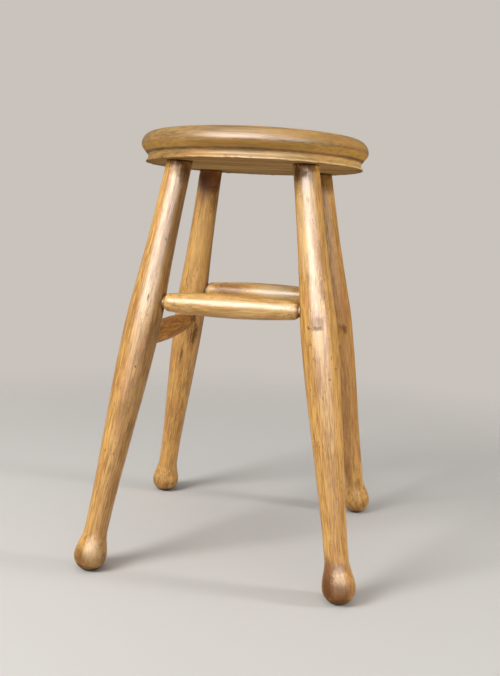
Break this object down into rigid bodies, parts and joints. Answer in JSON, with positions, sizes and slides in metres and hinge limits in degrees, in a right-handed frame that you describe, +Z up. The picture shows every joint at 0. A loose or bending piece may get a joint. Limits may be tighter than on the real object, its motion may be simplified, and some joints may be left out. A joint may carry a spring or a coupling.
{
  "type": "round turned stool",
  "caption": "Round-topped turned wooden stool: moulded seat, splayed swelling legs with club feet, and turned stretchers between the legs, higher at the front and rear than at the sides.",
  "frame": {"origin": "on the floor, under the middle of the seat", "axes": "+Z up through the middle of the seat; +X to the right and +Y to the rear of someone facing the front, whose stretcher is one of the higher pair"},
  "size_m": [0.362, 0.362, 0.564],
  "materials": {
    "seat_wood": "satin varnish over honey-brown wood, grain across the board",
    "leg_wood": "satin varnish over golden honey wood, grain along the leg, darkened at the joints and feet",
    "stretcher_wood": "satin varnish over golden honey wood, grain along the stretcher"
  },
  "bodies": {
    "root": {"seat": "seat_wood", "leg_front_left": "leg_wood", "leg_front_right": "leg_wood", "leg_rear_left": "leg_wood", "leg_rear_right": "leg_wood", "stretcher_front": "stretcher_wood", "stretcher_rear": "stretcher_wood", "stretcher_left": "stretcher_wood", "stretcher_right": "stretcher_wood"}
  },
  "joints": []
}
